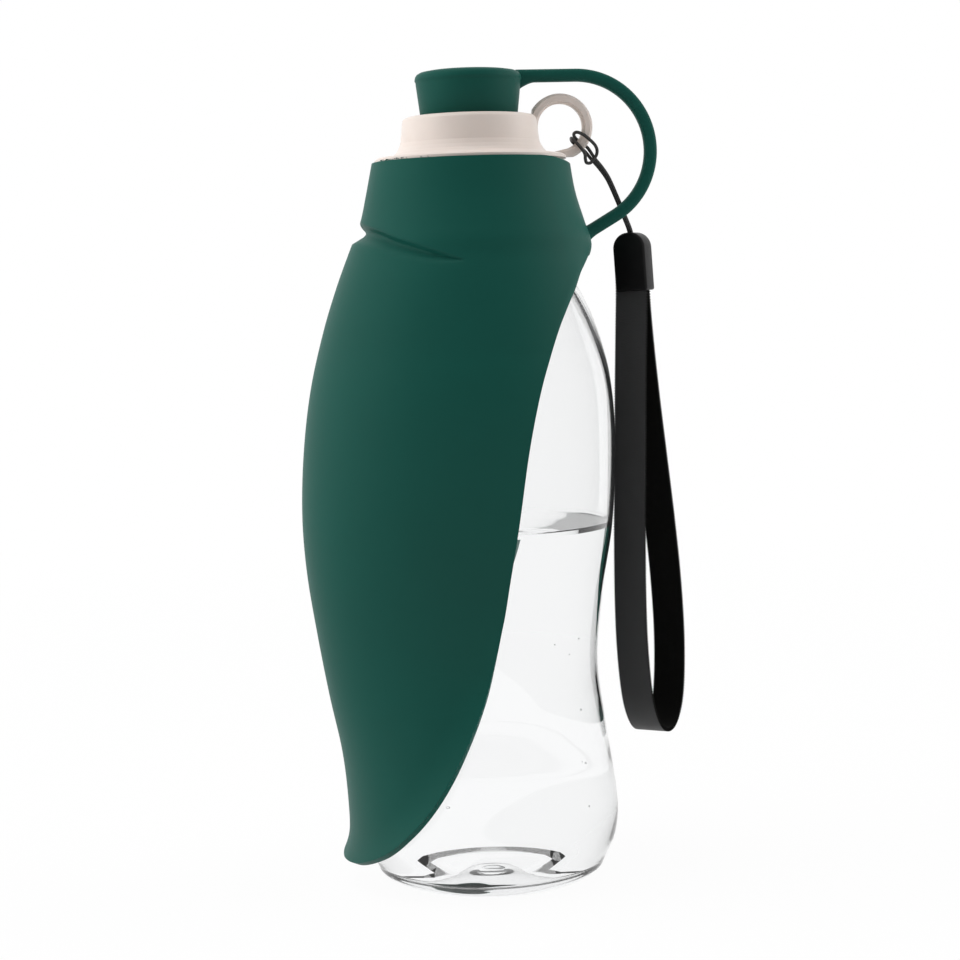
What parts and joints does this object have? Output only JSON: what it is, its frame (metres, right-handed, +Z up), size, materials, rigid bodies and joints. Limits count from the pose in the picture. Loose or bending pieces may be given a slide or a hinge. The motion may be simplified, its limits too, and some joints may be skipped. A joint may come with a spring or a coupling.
{
  "type": "dog travel water bottle",
  "caption": "Clear squeeze bottle with a screw cap, a pull stopper on a tether, a soft leaf that folds up into a drinking trough, and a wrist strap.",
  "frame": {"origin": "centre of the ring that the bottle stands on, in the plane of the table, on the bottle's axis", "axes": "+Z up along the bottle's axis; -X towards the middle of the leaf; +X towards the lanyard ring and the stopper's tether"},
  "size_m": [0.1192, 0.0888, 0.24],
  "materials": {
    "clear_bottle": "clear, glossy blown polyester",
    "seal": "matte silicone",
    "cap_plastic": "warm white, satin polypropylene",
    "green_silicone": "matte deep green silicone",
    "cord": "waxed braided cord",
    "ferrule": "black soft plastic",
    "strap": "smooth dark webbing"
  },
  "bodies": {
    "bottle": {"bottle": "clear_bottle"},
    "seal": {"sealing_ring": "seal"},
    "cap": {"screw_cap": "cap_plastic", "leaf_collar": "green_silicone", "tether": "green_silicone"},
    "leaf": {"leaf_blade": "green_silicone"},
    "stopper": {"stopper": "green_silicone"},
    "lanyard": {"lanyard_cord": "cord", "cord_ferrule": "ferrule", "wrist_strap": "strap"}
  },
  "joints": [
    {"name": "cap_lift", "type": "slide", "parent": "bottle", "child": "seal", "axis": [0, 0, 1], "range_m": [0, 0.0046]},
    {"name": "cap_turn", "type": "hinge", "parent": "seal", "child": "cap", "pos_m": [0, 0, 0.2], "axis": [0, 0, 1], "range_deg": [0, 540]},
    {"name": "leaf_fold", "type": "hinge", "parent": "cap", "child": "leaf", "pos_m": [-0.036, 0, 0.193], "axis": [0, 1, 0], "range_deg": [0, 150], "stiffness_Nm_per_rad": 0.06, "springref_deg": -20.05},
    {"name": "stopper_pull", "type": "slide", "parent": "cap", "child": "stopper", "axis": [0, 0, 1], "range_m": [0, 0.02], "deforming": ["tether"]},
    {"name": "lanyard_swing", "type": "hinge", "parent": "cap", "child": "lanyard", "pos_m": [0.027, 0, 0.2231], "axis": [0, -1, 0], "range_deg": [0, 75]}
  ],
  "couplings": [
    {"joint": "cap_lift", "follows": "cap_turn", "m_per_rad": 0.00047746}
  ]
}
